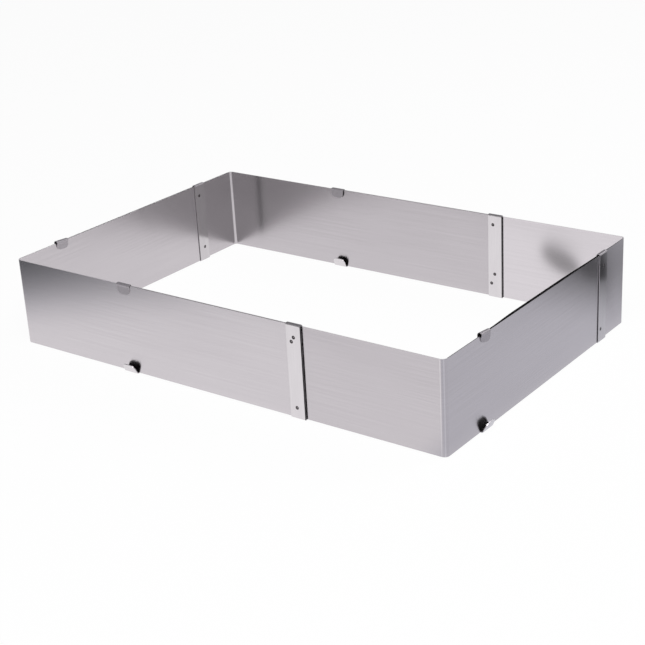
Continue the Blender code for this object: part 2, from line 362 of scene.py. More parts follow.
class FoldedStrip:
    """A strip of sheet metal, folded one run or bend after another from its first end."""

    def __init__(self, start: Vector, heading: Vector, face: Vector, width: Vector) -> None:
        """Draws the strip's first end.

        Args:
            start: The middle of the first end, on the drawn face.
            heading: The way of the first run, as a unit vector.
            face: The way that the drawn face looks at the start; the metal lies behind it.
            width: From the strip's one side to the other.
        """
        self.bm = bmesh.new()
        self.uv = self.bm.loops.layers.uv.new(GRAIN_MAP)
        self.run_layer = self.bm.verts.layers.float.new("run")
        self.place = start.copy()
        self.heading = heading.copy()
        self.face = face.copy()
        self.face_at_start = face.copy()
        self.across = width.normalized()
        self.length = 0.0
        self.slot = 0
        self.side_start = (start - width / 2).dot(self.across)
        self.first_ends = [self.bm.verts.new(start + width * share) for share in (-0.5, 0.5)]
        self.edge = self.bm.edges.new(self.first_ends)

    def _extend(self, matrix: Matrix, distance: float) -> None:
        """Extrudes the leading edge by one step.

        Args:
            matrix: Where the step takes the leading edge.
            distance: The step's length on the drawn face.
        """
        out = bmesh.ops.extrude_edge_only(self.bm, edges=[self.edge])
        verts = [item for item in out["geom"] if isinstance(item, BMVert)]
        bmesh.ops.transform(self.bm, matrix=matrix, verts=verts)
        self.length += distance
        for vert in verts:
            vert[self.run_layer] = self.length
        self.edge = next(item for item in out["geom"] if isinstance(item, BMEdge)
                         and all(vert in verts for vert in item.verts))
        for item in out["geom"]:
            if isinstance(item, BMFace):
                item.material_index = self.slot
        self.place = matrix @ self.place

    def run(self, distance: float) -> None:
        """Goes straight on for a distance."""
        self._extend(Matrix.Translation(self.heading * distance), distance)

    def bend(self, radius: float, angle: float, steps: int) -> None:
        """Bends the strip.

        Args:
            radius: The drawn face's radius in the bend.
            angle: In degrees, above 0 towards the side that the drawn face looks at.
            steps: How many flats make up the bend.
        """
        turn = math.radians(angle)
        axis = self.heading.cross(self.face)
        centre = self.place + self.face * math.copysign(radius, turn)
        shift = Matrix.Translation(centre)
        step = shift @ Matrix.Rotation(turn / steps, 4, axis) @ shift.inverted()
        for _ in range(steps):
            self._extend(step, radius * abs(turn) / steps)
        swing = Matrix.Rotation(turn, 3, axis)
        self.heading = swing @ self.heading
        self.face = swing @ self.face

    def finish(self, name: str, corner_radius: float = 0.0, round_steps: int = 8) -> Mesh:
        """Lays the grain map, rounds the corners of both ends and makes the mesh.

        Args:
            name: The mesh's name.
            corner_radius: The radius of the ends' corners, 0 for square corners.
            round_steps: How many edges make up a round corner.

        Returns:
            The open mesh of the drawn face.
        """
        self.bm.faces.ensure_lookup_table()
        self.bm.normal_update()
        if self.bm.faces[0].normal.dot(self.face_at_start) < 0:
            bmesh.ops.reverse_faces(self.bm, faces=self.bm.faces[:])
        for face in self.bm.faces:
            for loop in face.loops:
                side = loop.vert.co.dot(self.across) - self.side_start
                loop[self.uv].uv = (loop.vert[self.run_layer], side)
        if corner_radius > 0:
            for ends in (self.first_ends, list(self.edge.verts)):
                bmesh.ops.bevel(self.bm, geom=ends, offset=corner_radius, affect="VERTICES",
                                segments=round_steps, profile=0.5, material=-1)
        return make_mesh(name, self.bm)


class SheetTone(Enum):
    """The tones of a sheet and of its streaks, and its roughness: no two are quite alike."""

    DULL = ("#C7C3C6", "#C1BDC0", 0.21)
    EVEN = ("#C9C5C8", "#C3BFC2", 0.21)
    LIGHT = ("#D0CCCF", "#CAC6C9", 0.21)
    BRIGHT = ("#D9D5D8", "#D3CFD2", 0.13)


@dataclass(frozen=True)
class Finishes:
    """The materials of the frame; several of their colours are painted shade or painted
    highlights.
    """

    sheets: dict[SheetTone, Material]
    clip: Material
    # A darker copy of the strip: painted shade on the short walls' bands.
    painted_shade_clip: Material
    # Painted shade on the strip's inside, darker at the band and hook than in the fold.
    clip_inside_painted_shade: Material
    fold: Material
    fold_inside_painted_shade: Material
    tongue: Material
    # Lighter lines along the bend: press-brake rubbing, and a painted highlight.
    rubbed_bend: Material
    edge: Material
    # Top edges with a painted highlight.
    top_edge: Material
    # Rubbed edges with a painted highlight.
    bright_edge_painted_highlight: Material
    # Painted shade: the dark of a slot, on the edges there.
    slot_edge: Material
    weld: Material


class SheetPart(IntEnum):
    """What has a finish of its own on a corner sheet, in the order of the material slots."""

    OUTER_FACE = 0
    EDGE = 1
    # The edges painted dark as the shade in a slot.
    SLOT_EDGE = 2
    # A painted highlight in lines along the bend.
    RUBBED_BEND = 3
    # A painted highlight on the long arm's top edge.
    TOP_EDGE = 4
    INNER_FACE = 5


class ClipSkin(IntEnum):
    """A side of the clip's strip, in the order of each stretch's material slots."""

    INSIDE = 0
    OUTSIDE = 1
    EDGE = 2


class ClipPart(Enum):
    """A stretch of the clip's strip, with finishes of its own."""

    BAND = 0
    FOLD = 1
    TONGUE = 2
    HOOK = 3

    def slot(self, skin: ClipSkin) -> int:
        """The material slot of one side of the stretch."""
        return len(ClipSkin) * self.value + skin


@dataclass(frozen=True)
class TopFold:
    """The fold of a clip over the sheets' top edges, with its tongue.

    The room and the tip's gap are measured from the far sheet, the lift from the sheets' top and
    the drop from there down to the tongue's end. A fold with a pinch is pressed against the far
    sheet from that depth on, and one without it has a straight tongue that stands off.
    """

    bend_radius: float
    room: float
    lift: float
    drop: float
    tip_gap: float
    pinch: float = 0.0


@dataclass(frozen=True)
class BottomFold:
    """The open fold of a clip under the sheets: how far its tip stands off, and how high."""

    standoff: float
    rise: float


def tangent_leg(reach: float, leg: float, radius: float) -> tuple[float, float]:
    """Finds the lean and the length of a leg that leaves an arc as a tangent.

    Args:
        reach: From the arc's centre across to the leg's end.
        leg: From the arc's centre up or down to the leg's end.
        radius: The arc's radius.

    Returns:
        The lean from upright, in radians, and the length from the arc to the leg's end.
    """
    lean = math.atan2(reach, leg) - math.asin(radius / math.hypot(reach, leg))
    return lean, math.sqrt(reach ** 2 + leg ** 2 - radius ** 2)


@dataclass
class Clip:
    """A strip that is welded to the end of an arm and folded over both lapped arms.

    The opening says how far its top fold stands open at the arm's end: 0 is shut, and 1 is as
    open as the opened top.
    """

    name: str
    node: str
    side: Side
    layer: Layer
    to_end: Vector
    opening: float = 0.0
    thickness: float = 0.6 * MM
    seat_gap: float = 0.3 * MM
    wall_depth: float = 1.6 * MM
    sheet_lift: float = 0.3 * MM
    toe_radius: float = 1.4 * MM
    toe_overhang: float = 0.3 * MM
    heel_radius: float = 0.6 * MM
    corner_radius: float = 4.6 * MM
    sheet_height: float = 80 * MM
    outward_top: TopFold = TopFold(0.8 * MM, 0.4 * MM, 0.4 * MM, 8.6 * MM, 0.05 * MM, 2.0 * MM)
    inward_top: TopFold = TopFold(0.7 * MM, 0.8 * MM, 0.3 * MM, 7.8 * MM, 1.6 * MM)
    outward_bottom: BottomFold = BottomFold(4.8 * MM, 7.8 * MM)
    inward_bottom: BottomFold = BottomFold(4.2 * MM, 8.4 * MM)
    opened_top: TopFold = TopFold(1.4 * MM, 1.2 * MM, 2.1 * MM, 5.8 * MM, 0.05 * MM, 2.0 * MM)
    pinch_radius: float = 0.5 * MM
    bend_steps: int = 12
    edge_round: float = 0.12 * MM

    @property
    def across(self) -> Vector:
        """The way from the clip's band through the wall to its tongues."""
        return -self.side.outward if self.layer is Layer.OUTER else self.side.outward

    def build(self) -> Object:
        """Folds the clip, with its top fold opened by wear where it is so.

        Returns:
            The clip, with its wall thickness and rounded edges as modifiers.
        """
        top = self.inward_top if self.layer is Layer.OUTER else self.outward_top
        if self.opening:
            top = replace(top, tip_gap=self.opened_top.tip_gap, pinch=self.opened_top.pinch)
        mesh = self.fold(top)
        if self.opening:
            self.open_top_fold(mesh, self.fold(self.opened_top))
        return thicken(self.name, mesh, self.thickness, self.edge_round, ClipSkin.OUTSIDE,
                       ClipSkin.EDGE)

    def fold(self, top: TopFold) -> Mesh:
        """Folds the strip from the tip of its hook to the end of its tongue.

        Args:
            top: The fold over the sheets.

        Returns:
            The clip's inner face.
        """
        low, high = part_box(self.node)
        bottom = self.inward_bottom if self.layer is Layer.OUTER else self.outward_bottom
        across = self.across
        along = UP.cross(across)
        band = -extreme(low, high, -across) + self.thickness
        far_face = self.seat_gap + self.wall_depth
        floor = low.z + self.thickness
        foot = floor + self.sheet_lift
        start = (along * ((low + high) / 2).dot(along)
                 + across * (band + far_face + bottom.standoff))
        start.z = foot + bottom.rise
        lean, length = tangent_leg(bottom.standoff - self.toe_overhang,
                                   start.z - floor - self.toe_radius, self.toe_radius)
        heading = -across * math.sin(lean) - UP * math.cos(lean)
        face = UP * math.sin(lean) - across * math.cos(lean)
        strip = FoldedStrip(start, heading, face, along * abs((high - low).dot(along)))
        strip.slot = ClipPart.HOOK.slot(ClipSkin.INSIDE)
        strip.run(length)
        strip.bend(self.toe_radius, 90 - math.degrees(lean), self.bend_steps)
        strip.run(far_face + self.toe_overhang - self.heel_radius)
        strip.slot = ClipPart.BAND.slot(ClipSkin.INSIDE)
        strip.bend(self.heel_radius, 90, self.bend_steps)
        strip.run(foot + self.sheet_height + top.lift - top.bend_radius - floor - self.heel_radius)
        strip.slot = ClipPart.FOLD.slot(ClipSkin.INSIDE)
        strip.bend(top.bend_radius, 90, self.bend_steps)
        strip.run(far_face + top.room - 2 * top.bend_radius)
        strip.slot = ClipPart.TONGUE.slot(ClipSkin.INSIDE)
        self.fold_tongue(strip, top)
        return strip.finish(self.name, self.corner_radius)

    def fold_tongue(self, strip: FoldedStrip, top: TopFold) -> None:
        """Folds the tongue down at the far side of the sheets.

        Args:
            strip: The strip, folded as far as the level top of the fold.
            top: The fold over the sheets.
        """
        radius = top.bend_radius
        pinch_radius = self.pinch_radius if top.pinch else 0.0
        reach = top.tip_gap - top.room + radius + pinch_radius
        leg = top.lift - radius + (top.pinch or top.drop)
        lean, length = tangent_leg(reach, leg, radius + pinch_radius)
        strip.bend(radius, 90 - math.degrees(lean), self.bend_steps)
        strip.run(length)
        if top.pinch:
            strip.bend(pinch_radius, math.degrees(lean), self.bend_steps)
            strip.run(top.drop - top.pinch)

    def open_top_fold(self, mesh: Mesh, opened: Mesh) -> None:
        """Opens the top fold, more and more towards the arm's end.

        Args:
            mesh: The clip's inner face as it was folded.
            opened: The same face with its top fold open over its whole width.
        """
        low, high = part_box(self.node)
        near = -extreme(low, high, -self.to_end)
        far = extreme(low, high, self.to_end)
        for vert, target in zip(mesh.vertices, opened.vertices):
            share = (vert.co.dot(self.to_end) - near) / (far - near)
            vert.co = vert.co.lerp(target.co, self.opening * share)
        bpy.data.meshes.remove(opened)

    def dress(self, clip: Object, finishes: Finishes) -> None:
        """Gives each stretch of the clip the finishes of its faces and its sheared edges.

        Args:
            clip: The clip.
            finishes: The frame's materials.
        """
        # The short walls' bands get a darker copy of the strip: painted shade.
        is_on_long_wall = self.side in (Side.FRONT, Side.BACK)
        band = finishes.clip if is_on_long_wall else finishes.painted_shade_clip
        fold = finishes.fold if is_on_long_wall else finishes.tongue
        # Insides get painted shade, the band's edges the slot's painted shade, tongue and hook
        # edges a painted highlight.
        skins = {ClipPart.BAND: (finishes.clip_inside_painted_shade, band, finishes.slot_edge),
                 ClipPart.FOLD: (finishes.fold_inside_painted_shade, fold, finishes.edge),
                 ClipPart.TONGUE: (finishes.fold_inside_painted_shade, finishes.tongue, finishes.bright_edge_painted_highlight),
                 ClipPart.HOOK: (finishes.clip_inside_painted_shade, finishes.clip, finishes.bright_edge_painted_highlight)}
        for part in ClipPart:
            for finish in skins[part]:
                clip.data.materials.append(finish)

    def lighten_home_edge(self, clip: Object) -> None:
        """Takes the painted shade of the slot off the band's edge that lies open on its own sheet;
        it gets the rubbed edge's painted highlight instead.

        Args:
            clip: The clip, settled.
        """
        for face in clip.data.polygons:
            is_band_edge = face.material_index == ClipPart.BAND.slot(ClipSkin.EDGE)
            if is_band_edge and face.normal.dot(self.to_end) < 0:
                face.material_index = ClipPart.TONGUE.slot(ClipSkin.EDGE)


def thicken(name: str, mesh: Mesh, thickness: float, edge_round: float,
            shell_slot: int, rim_slot: int) -> Object:
    """Makes an object of a drawn face, with the metal behind the face and its edges rounded.

    Args:
        name: The object's name.
        mesh: The drawn face.
        thickness: The sheet's thickness.
        edge_round: How far the sheared edges are rounded.
        shell_slot: The material slot of the face behind, counted from the drawn face's.
        rim_slot: The material slot of the sheared edges, counted so too.

    Returns:
        The object, with live modifiers.
    """
    obj = link_object(name, mesh)
    wall = obj.modifiers.new("wall", "SOLIDIFY")
    wall.thickness = thickness
    wall.offset = -1
    wall.use_even_offset = True
    wall.material_offset = shell_slot
    wall.material_offset_rim = rim_slot
    rounding = obj.modifiers.new("edge_round", "BEVEL")
    rounding.width = edge_round
    rounding.segments = EDGE_SEGMENTS
    rounding.limit_method = "ANGLE"
    rounding.angle_limit = math.radians(SHARP_EDGE_ANGLE)
    flats = obj.modifiers.new("flats", "WEIGHTED_NORMAL")
    flats.keep_sharp = True
    return obj


def punch(obj: Object, cutter: Object) -> None:
    """Cuts the weld holes, before the edges are rounded.

    Args:
        obj: The piece, which has its wall thickness as its first modifier.
        cutter: The solids of the holes.
    """
    cut = obj.modifiers.new("weld_holes", "BOOLEAN")
    cut.operation = "DIFFERENCE"
    cut.solver = "EXACT"
    cut.object = cutter
    obj.modifiers.move(len(obj.modifiers) - 1, 1)


def settle(obj: Object) -> None:
    """Replaces an object's mesh by what its modifiers make of it.

    Args:
        obj: The object, which has no modifiers afterwards.
    """
    depsgraph = bpy.context.evaluated_depsgraph_get()
    mesh = bpy.data.meshes.new_from_object(
        obj.evaluated_get(depsgraph), preserve_all_data_layers=True, depsgraph=depsgraph)
    obj.modifiers.clear()
    obj.data = mesh


@dataclass
class SpotWeld:
    """A spot weld: the dished mark of the electrode on both faces of the joined metal."""

    name: str
    node: str
    side: Side
    dish_depth: float = 0.16 * MM
    lip_height: float = 0.05 * MM
    lip_width: float = 0.28 * MM
    flush_dish: float = 0.1 * MM
    hole_overrun: float = 2 * MM
    merge_distance: float = 0.001 * MM
    steps: int = 40

    @property
    def radius(self) -> float:
        """The radius of the hole that the weld fills."""
        low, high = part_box(self.node)
        return (high.z - low.z) / 2

    def build(self) -> Object:
        """Turns the weld's half section.

        Returns:
            The weld.
        """
        low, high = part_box(self.node)
        middle = (low + high) / 2
        axis = self.side.outward
        half = abs((high - low).dot(axis)) / 2 + self.flush_dish
        radius = self.radius
        # How far out from the axis and up from the face: the dish, the lip that the electrode
        # raised round it, and back to the hole's wall below the lip.
        section = [(0.0, -self.dish_depth), (0.45 * radius, -0.9 * self.dish_depth),
                   (0.8 * radius, -0.45 * self.dish_depth), (radius, 0.6 * self.lip_height),
                   (radius + 0.35 * self.lip_width, self.lip_height),
                   (radius + 0.8 * self.lip_width, 0.5 * self.lip_height),
                   (radius + self.lip_width, 0.0), (0.985 * radius, -0.02 * MM)]
        outline = [(out, half + rise) for out, rise in section]
        outline += [(out, -height) for out, height in reversed(outline)]
        bm = bmesh.new()
        reach = bm.verts.layers.float.new(WELD_REACH)
        verts = []
        for out, height in outline:
            vert = bm.verts.new(middle + UP * out + axis * height)
            vert[reach] = out
            verts.append(vert)
        edges = [bm.edges.new(pair) for pair in zip(verts, verts[1:])]
        bmesh.ops.spin(bm, geom=verts + edges, cent=middle, axis=axis, angle=math.tau,
                       steps=self.steps, use_merge=True)
        bmesh.ops.remove_doubles(bm, verts=bm.verts[:], dist=self.merge_distance)
        bmesh.ops.recalc_face_normals(bm, faces=bm.faces[:])
        for face in bm.faces:
            face.smooth = True
        return link_object(self.name, make_mesh(self.name, bm))

    def add_hole(self, bm: BMesh) -> None:
        """Adds the solid that cuts the weld's hole.

        Args:
            bm: The cutter's bmesh.
        """
        low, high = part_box(self.node)
        axis = self.side.outward
        depth = abs((high - low).dot(axis)) + self.hole_overrun
        bmesh.ops.create_cone(bm, cap_ends=True, segments=self.steps, radius1=self.radius,
                              radius2=self.radius, depth=depth,
                              matrix=aimed((low + high) / 2, axis))

    def dress(self, weld: Object, finishes: Finishes) -> None:
        """Gives the weld its finish."""
        weld.data.materials.append(finishes.weld)


@dataclass
class Arm:
    """One arm of a corner sheet with the clip at its end and the clip's welds."""

    piece: str
    reach: Reach
    side: Side
    layer: Layer
    to_end: Vector
    opening: float = 0.0
    form: Clip | None = None
    clip: Object | None = None
    welds: list[tuple[SpotWeld, Object]] = field(default_factory=list)

    @property
    def stem(self) -> str:
        """How the names of the arm's nodes start."""
        return f"{self.piece}_{self.reach.value}"

    def build(self, finishes: Finishes) -> None:
        """Builds and dresses the clip and its welds.

        Args:
            finishes: The frame's materials.
        """
        self.form = Clip(f"{self.stem}_folded_clip", f"{self.stem}_clip", self.side, self.layer,
                         self.to_end, self.opening)
        self.clip = self.form.build()
        self.form.dress(self.clip, finishes)
        nodes = sorted(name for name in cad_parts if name.startswith(f"{self.stem}_weld_"))
        for node in nodes:
            spot = SpotWeld(node.replace("weld", "spot_weld"), node, self.side)
            weld = spot.build()
            spot.dress(weld, finishes)
            self.welds.append((spot, weld))

    def declare(self) -> None:
        """Fixes the pieces to the CAD model's body and nodes."""
        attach(self.clip, self.piece)
        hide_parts(f"{self.stem}_clip")
        for spot, weld in self.welds:
            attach(weld, self.piece)
            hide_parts(spot.node)


@dataclass
class CornerPiece:
    """One corner sheet with its two clips and their welds, which move as one body.

    The slot is the stretch of the short arm, in depth from the corner, where the lapped sheets
    stand apart and the gap between them is dark. The bow is how far the arm stands into the ring
    there, and the ramps are how long it takes to get there and back. The bend marks are the
    stretches of the bend, each with its finish and its angle.
    """

    name: str
    long_side: Side
    short_side: Side
    long_layer: Layer
    short_clip_opening: float = 0.0
    tone: SheetTone = SheetTone.EVEN
    inner_tone: SheetTone = SheetTone.EVEN
    # The slot's top edges and every end edge of the sheet are painted dark as shade.
    slot_start: float = 0.0
    slot_end: float = 0.0
    slot_bow: float = 0.0
    slot_ramps: tuple[float, float] = (70 * MM, 42 * MM)
    slot_steps: int = 24
    bend_marks: tuple[tuple[SheetPart, float], ...] = ((SheetPart.OUTER_FACE, 90.0),)
    bend_radius: float = 4.5 * MM
    bend_steps: int = 20
    thickness: float = 0.6 * MM
    edge_round: float = 0.12 * MM

    def build(self, finishes: Finishes) -> None:
        """Builds the corner piece, dresses it and fixes it to its body.

        Args:
            finishes: The frame's materials.
        """
        sheet = self.build_sheet()
        self.dress(sheet, finishes)
        arms = [Arm(self.name, Reach.LONG, self.long_side, self.long_layer,
                    -self.short_side.outward),
                Arm(self.name, Reach.SHORT, self.short_side, self.long_layer.other,
                    -self.long_side.outward, self.short_clip_opening)]
        for arm in arms:
            arm.build(finishes)
        self.punch_weld_holes(sheet, arms)
        self.sort_edges(sheet)
        for arm in arms:
            arm.form.lighten_home_edge(arm.clip)
        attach(sheet, self.name)
        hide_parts(f"{self.name}_sheet")
        for arm in arms:
            arm.declare()
            LOG.info("%s: clip and %d welds", arm.stem, len(arm.welds))
        LOG.info("%s: sheet of %d faces", self.name, len(sheet.data.polygons))

    def build_sheet(self) -> Object:
        """Folds the L-shaped sheet, drawn on its outer faces.

        Returns:
            The sheet, with its wall thickness and rounded edges as modifiers.
        """
        low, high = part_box(f"{self.name}_sheet")
        to_long_end = -self.short_side.outward
        to_short_end = -self.long_side.outward
        size = high - low
        corner = (self.short_side.outward * extreme(low, high, self.short_side.outward)
                  + self.long_side.outward * extreme(low, high, self.long_side.outward))
        corner.z = low.z + size.z / 2
        long_reach = abs(size.dot(to_long_end))
        short_reach = abs(size.dot(to_short_end))
        start = corner + to_long_end * long_reach
        strip = FoldedStrip(start, -to_long_end, self.long_side.outward, UP * size.z)
        strip.run(long_reach - self.bend_radius)
        for slot, angle in self.bend_marks:
            strip.slot = slot
            strip.bend(self.bend_radius, -angle, round(self.bend_steps * angle / 90))
        strip.slot = SheetPart.OUTER_FACE
        stops = sorted({self.bend_radius, self.slot_start, self.slot_end, short_reach} - {0.0})
        for near, far in zip(stops, stops[1:]):
            for _ in range(self.slot_steps):
                strip.run((far - near) / self.slot_steps)
        mesh = strip.finish(f"{self.name}_corner_sheet")
        self.bow_short_arm(mesh, corner)
        return thicken(f"{self.name}_corner_sheet", mesh, self.thickness, self.edge_round,
                       SheetPart.INNER_FACE, SheetPart.EDGE)

    def dress(self, sheet: Object, finishes: Finishes) -> None:
        """Gives the sheet its finishes, one to each of its parts.

        Args:
            sheet: The corner sheet.
            finishes: The frame's materials.
        """
        # The slot's edges get painted shade; the rubbed bend and the top edge get painted
        # highlights.
        skins = {SheetPart.OUTER_FACE: finishes.sheets[self.tone],
                 SheetPart.EDGE: finishes.edge,
                 SheetPart.SLOT_EDGE: finishes.slot_edge,
                 SheetPart.RUBBED_BEND: finishes.rubbed_bend,
                 SheetPart.TOP_EDGE: finishes.top_edge,
                 SheetPart.INNER_FACE: finishes.sheets[self.inner_tone]}
        for part in SheetPart:
            sheet.data.materials.append(skins[part])

    def bow_short_arm(self, mesh: Mesh, corner: Vector) -> None:
        """Bows the short arm into the ring between the clips, where its slot stands open.

        Args:
            mesh: The sheet's drawn face.
            corner: A point on the sheet's upright corner.
        """
        for vert in mesh.vertices:
            depth = (corner - vert.co).dot(self.long_side.outward)
            share = min((depth - self.slot_start) / self.slot_ramps[0],
                        (self.slot_end - depth) / self.slot_ramps[1], 1.0)
            if share > 0:
                vert.co -= self.short_side.outward * self.slot_bow * share ** 2 * (3 - 2 * share)

    def sort_edges(self, sheet: Object) -> None:
        """Picks the edges painted dark as the slot's shade, and the long arm's top edge with a
        painted highlight.

        Args:
            sheet: The corner sheet, settled.
        """
        low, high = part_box(f"{self.name}_sheet")
        corner = extreme(low, high, self.long_side.outward)
        for face in sheet.data.polygons:
            if face.material_index != SheetPart.EDGE:
                continue
            depth = corner - face.center.dot(self.long_side.outward)
            is_end = abs(face.normal.z) < 0.5
            is_top = face.normal.z > 0.5
            # End edges and the slot's top edges get painted shade; the top edge at the bend a
            # painted highlight.
            if is_end or (is_top and self.slot_start < depth < self.slot_end):
                face.material_index = SheetPart.SLOT_EDGE
            elif is_top and depth < self.bend_radius:
                face.material_index = SheetPart.TOP_EDGE

    def punch_weld_holes(self, sheet: Object, arms: list[Arm]) -> None:
        """Cuts the holes that the welds fill, and settles the meshes.

        Args:
            sheet: The corner sheet.
            arms: Its two arms.
        """
        bm = bmesh.new()
        for arm in arms:
            for spot, _ in arm.welds:
                spot.add_hole(bm)
        cutter = link_object("weld_hole_cutter", make_mesh("weld_hole_cutter", bm))
        pieces = [sheet] + [arm.clip for arm in arms]
        for piece in pieces:
            piece.data.shade_smooth()
            punch(piece, cutter)
        for piece in pieces:
            settle(piece)
        bpy.data.objects.remove(cutter)


@dataclass(frozen=True)
class SoftStep:
    """A soft step from one level to another, between two values of what it reads."""

    start: float
    end: float
    first_level: float
    last_level: float

    def add(self, tree: NodeTree, value: NodeSocket,
            last_level: NodeSocket | None = None) -> NodeSocket:
        """Adds the step's node.

        Args:
            tree: The node tree that gets the node.
            value: What the step reads.
            last_level: A level to go to in place of the step's own.

        Returns:
            The level.
        """
        return add_node(tree, "ShaderNodeMapRange", {"interpolation_type": "SMOOTHSTEP"}, {
            "Value": value, "From Min": self.start, "From Max": self.end,
            "To Min": self.first_level,
            "To Max": last_level or self.last_level}).outputs["Result"]


@dataclass(frozen=True)
class PaintedShadeOval:
    """A painted shade on the floor, an oval: its middle, the turn of its long axis, its reach and
    its fade.
    """

    place: tuple[float, float]
    turn: float
    reach: tuple[float, float]
    fade: SoftStep

    def add(self, tree: NodeTree, place: NodeSocket) -> NodeSocket:
        """Adds the oval of painted shade.

        Args:
            tree: The floor's node tree.
            place: The place on the floor.

        Returns:
            The share of the light that is left there.
        """
        around = add_node(tree, "ShaderNodeMapping", {"vector_type": "TEXTURE"}, {
            "Vector": place, "Location": (*self.place, 0.0),
            "Rotation": (0.0, 0.0, math.radians(self.turn)), "Scale": (*self.reach, 1.0)})
        oval = add_node(tree, "ShaderNodeTexGradient", {"gradient_type": "SPHERICAL"}, {
            "Vector": around.outputs["Vector"]})
        return self.fade.add(tree, oval.outputs["Fac"])


@dataclass(frozen=True)
class SeenFloor:
    """The floor as the steel mirrors it: glowing paper with painted shade to the left, behind and
    in ovals.

    Places are in metres on the floor from the frame's middle, and a level of 1 is lit paper. The
    painted shadow behind lies beside the frame on the right, is weaker past a slanted line where
    the band in the right wall mirrors it, and ends far behind. A second bounce, a mirror in a
    mirror, is painted darker as shade.
    """

    left: SoftStep = SoftStep(-0.665, -0.39, 0.1, 1.0)
    left_slant: float = 0.9
    beside: SoftStep = SoftStep(0.19, 0.24, 0.0, 1.0)
    behind: SoftStep = SoftStep(0.125, 0.305, 0.72, 0.03)
    past_band: SoftStep = SoftStep(-0.262, -0.250, 0.03, 0.38)
    past_band_slant: float = -1.76
    far_behind: SoftStep = SoftStep(0.32, 0.42, 0.0, 1.0)
    far_level: float = 0.6
    # Ovals of painted shade on the floor, which the steel mirrors.
    painted_shade_ovals: tuple[PaintedShadeOval, ...] = (
        PaintedShadeOval((0.1, 0.033), 45.0, (0.064, 0.0185), SoftStep(0.0, 0.5, 1.0, 0.3)),
        PaintedShadeOval((0.311, 0.262), 60.0, (0.04, 0.018), SoftStep(0.0, 0.3, 1.0, 0.1)))
    second_bounce: SoftStep = SoftStep(1.0, 2.0, 1.0, 0.7)
    second_depth: float = 1.5
    second_tint: tuple[float, float, float] = (0.98, 1.0, 0.985)
    tint: tuple[float, float, float] = (1.0, 0.985, 1.0)
    tint_left: tuple[float, float, float] = (0.955, 0.985, 1.07)
    tint_beside: tuple[float, float, float] = (0.98, 0.985, 1.05)

    def add(self, tree: NodeTree, place: NodeSocket, depth: NodeSocket) -> dict[str, NodeSocket]:
        """Adds what the steel sees of the floor.

        Args:
            tree: The floor's node tree.
            place: The place on the floor.
            depth: How many mirrors the ray has met on its way.

        Returns:
            The colour and the level, by the emission's inputs.
        """
        axes = add_node(tree, "ShaderNodeSeparateXYZ", inputs={"Vector": place})
        slant = add_node(tree, "ShaderNodeMath", {"operation": "MULTIPLY_ADD"}, {
            0: axes.outputs["Y"], 1: self.left_slant, 2: axes.outputs["X"]})
        left = self.left.add(tree, slant.outputs["Value"])
        beside = self.beside.add(tree, axes.outputs["X"])
        level = add_node(tree, "ShaderNodeMix", {"data_type": "FLOAT"}, {
            0: beside, 2: 1.0, 3: self.level_beside(tree, axes)}).outputs[0]
        for share in (left, self.second_bounce.add(tree, depth),
                      *(shade_oval.add(tree, place) for shade_oval in self.painted_shade_ovals)):
            level = add_node(tree, "ShaderNodeMath", {"operation": "MULTIPLY"}, {
                0: level, 1: share}).outputs["Value"]
        return {"Color": self.colour(tree, left, beside, depth), "Strength": level}

    def colour(self, tree: NodeTree, left: NodeSocket, beside: NodeSocket,
               depth: NodeSocket) -> NodeSocket:
        """Adds the colour, a little bluer at both ends and greener in a second mirror.

        Args:
            tree: The floor's node tree.
            left: The level that the paper has to the left.
            beside: How far a place lies beside the frame on the right.
            depth: How many mirrors the ray has met on its way.

        Returns:
            The colour.
        """
        colour = (*self.tint_left, 1.0)
        for share, tint in ((left, self.tint), (beside, self.tint_beside)):
            colour = add_node(tree, "ShaderNodeMix", {"data_type": "RGBA"}, {
                0: share, 6: colour, 7: (*tint, 1.0)}).outputs[2]
        is_second = add_node(tree, "ShaderNodeMath", {"operation": "GREATER_THAN"}, {
            0: depth, 1: self.second_depth})
        return add_node(tree, "ShaderNodeMix", {"data_type": "RGBA", "blend_type": "MULTIPLY"}, {
            0: is_second.outputs["Value"], 6: colour,
            7: (*self.second_tint, 1.0)}).outputs[2]

    def level_beside(self, tree: NodeTree, axes: Node) -> NodeSocket:
        """Adds the level beside the frame on the right, darker behind until far behind.

        Args:
            tree: The floor's node tree.
            axes: The node that parts the place on the floor.

        Returns:
            The level.
        """
        slant = add_node(tree, "ShaderNodeMath", {"operation": "MULTIPLY_ADD"}, {
            0: axes.outputs["X"], 1: self.past_band_slant, 2: axes.outputs["Y"]})
        past_band = self.past_band.add(tree, slant.outputs["Value"])
        return add_node(tree, "ShaderNodeMix", {"data_type": "FLOAT"}, {
            0: self.far_behind.add(tree, axes.outputs["Y"]),
            2: self.behind.add(tree, axes.outputs["Y"], past_band),
            3: self.far_level}).outputs[0]


@dataclass(frozen=True)
class Lamp:
    """A square soft lamp that looks at the frame: its place, its side and its watts."""

    name: str
    place: tuple[float, float, float]
    size: float
    watts: float

    def hang(self) -> None:
        """Hangs the lamp."""
        light = bpy.data.lights.new(self.name, "AREA")
        light.size = self.size
        light.energy = self.watts
        place = Vector(self.place)
        link_object(self.name, light).matrix_world = aimed(place, place)


